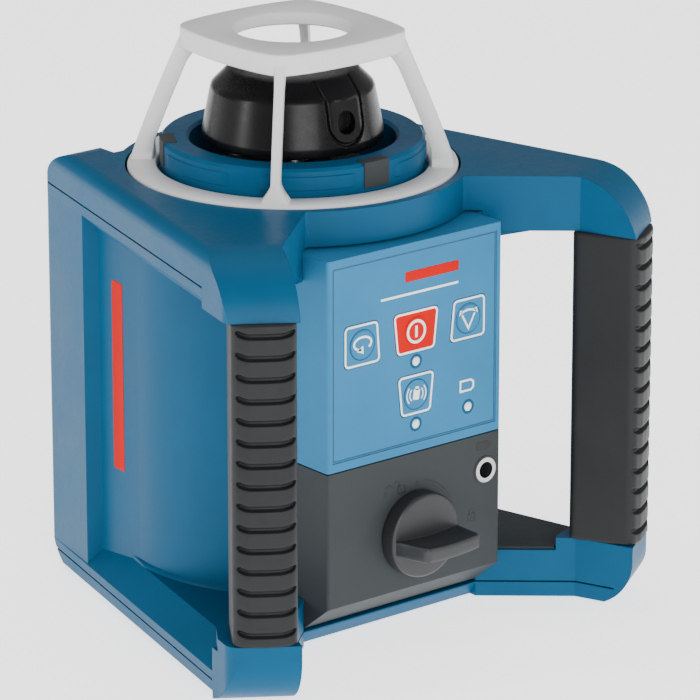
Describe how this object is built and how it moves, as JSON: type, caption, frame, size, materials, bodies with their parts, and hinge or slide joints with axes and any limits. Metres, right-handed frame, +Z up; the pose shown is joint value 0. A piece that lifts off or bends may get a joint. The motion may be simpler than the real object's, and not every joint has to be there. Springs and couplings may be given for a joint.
{
  "type": "rotating laser level",
  "caption": "Self-levelling rotating laser level with a guarded rotor, two open side handles, keypad and pull-out battery block.",
  "frame": {"origin": "centre of the bottom tripod thread, in the plane the level stands on; on the rotor's axis", "axes": "+Z up along the rotor's axis, -Y towards the keypad, +X to the right seen from the keypad"},
  "size_m": [0.1734, 0.1582, 0.19],
  "materials": {
    "shell_blue": "satin",
    "panel_blue": "matte",
    "key_red": "satin",
    "grip_rubber": "matte",
    "dark_plastic": "matte",
    "knob_plastic": "satin",
    "rotor_black": "satin",
    "cage_metal": "satin",
    "lens_white": "gloss",
    "glass": "gloss",
    "steel": "brushed",
    "brass": "satin",
    "aluminium": "satin",
    "board_green": "satin",
    "black_rubber": "matte",
    "component_black": "matte"
  },
  "bodies": {
    "housing": {"arm_pad": "dark_plastic", "base_screws": "steel", "base_seal": "black_rubber", "base_shell": "shell_blue", "battery_bay": "dark_plastic", "bay_contacts": "brass", "board_parts": "component_black", "body_shell": "shell_blue", "cage": "cage_metal", "cage_screws": "steel", "chassis_frame": "aluminium", "collar": "shell_blue", "collar_inserts": "dark_plastic", "control_panel": "panel_blue", "gimbal_bushes": "brass", "grip_left": "grip_rubber", "grip_right": "grip_rubber", "handle_core_left": "shell_blue", "handle_core_right": "shell_blue", "indicator_lenses": "lens_white", "keypad_board": "board_green", "keypad_foil": "panel_blue", "levelling_motors": "steel", "levelling_screws": "steel", "main_board": "board_green", "rubber_feet": "black_rubber", "switch_domes": "component_black", "top_cover": "shell_blue", "top_seal": "black_rubber", "tripod_insert_back": "aluminium", "tripod_insert_bottom": "aluminium"},
    "gimbal": {"gimbal_ring": "aluminium"},
    "laser_unit": {"laser_carrier": "aluminium", "laser_housing": "aluminium", "diode_module": "brass", "collimator_lens": "glass", "spindle_bearings": "steel", "spin_motor": "steel", "drive_belt": "black_rubber", "tilt_sensor": "component_black"},
    "rotor": {"rotor_head": "rotor_black", "pentaprism": "glass", "exit_window": "glass", "hollow_shaft": "steel", "rotor_pulley": "aluminium"},
    "motor_shaft": {"motor_pulley": "aluminium"},
    "battery_unit": {"battery_block": "dark_plastic", "block_lid": "dark_plastic", "battery_cells": "steel", "cell_contacts": "brass", "block_terminals": "brass", "charging_socket": "knob_plastic", "socket_ring": "steel"},
    "lock": {"lock_knob": "knob_plastic", "lock_cam": "knob_plastic"},
    "power_button": {"power_key": "key_red"},
    "rotation_button": {"rotation_key": "panel_blue"},
    "line_button": {"line_key": "panel_blue"},
    "vibration_button": {"vibration_key": "panel_blue"}
  },
  "joints": [
    {"name": "level_x", "type": "hinge", "parent": "housing", "child": "gimbal", "pos_m": [0, 0, 0.125], "axis": [1, 0, 0], "range_deg": [-5, 5]},
    {"name": "level_y", "type": "hinge", "parent": "gimbal", "child": "laser_unit", "pos_m": [0, 0, 0.125], "axis": [0, 1, 0], "range_deg": [-5, 5]},
    {"name": "rotor_spin", "type": "hinge", "parent": "laser_unit", "child": "rotor", "pos_m": [0, 0, 0.15], "axis": [0, 0, 1], "continuous": true},
    {"name": "motor_spin", "type": "hinge", "parent": "laser_unit", "child": "motor_shaft", "pos_m": [-0.021, 0, 0.15], "axis": [0, 0, 1], "continuous": true},
    {"name": "battery_slide", "type": "slide", "parent": "housing", "child": "battery_unit", "axis": [0, -1, 0], "range_m": [0, 0.09]},
    {"name": "lock_turn", "type": "hinge", "parent": "battery_unit", "child": "lock", "pos_m": [0, -0.0622, 0.036], "axis": [0, -1, 0], "range_deg": [0, 90]},
    {"name": "power_press", "type": "slide", "parent": "housing", "child": "power_button", "axis": [0, 1, 0], "range_m": [0, 0.0005], "stiffness_N_per_m": 400},
    {"name": "rotation_press", "type": "slide", "parent": "housing", "child": "rotation_button", "axis": [0, 1, 0], "range_m": [0, 0.0005], "stiffness_N_per_m": 400},
    {"name": "line_press", "type": "slide", "parent": "housing", "child": "line_button", "axis": [0, 1, 0], "range_m": [0, 0.0005], "stiffness_N_per_m": 400},
    {"name": "vibration_press", "type": "slide", "parent": "housing", "child": "vibration_button", "axis": [0, 1, 0], "range_m": [0, 0.0005], "stiffness_N_per_m": 400}
  ],
  "couplings": [
    {"joint": "motor_spin", "follows": "rotor_spin", "ratio": 3}
  ]
}
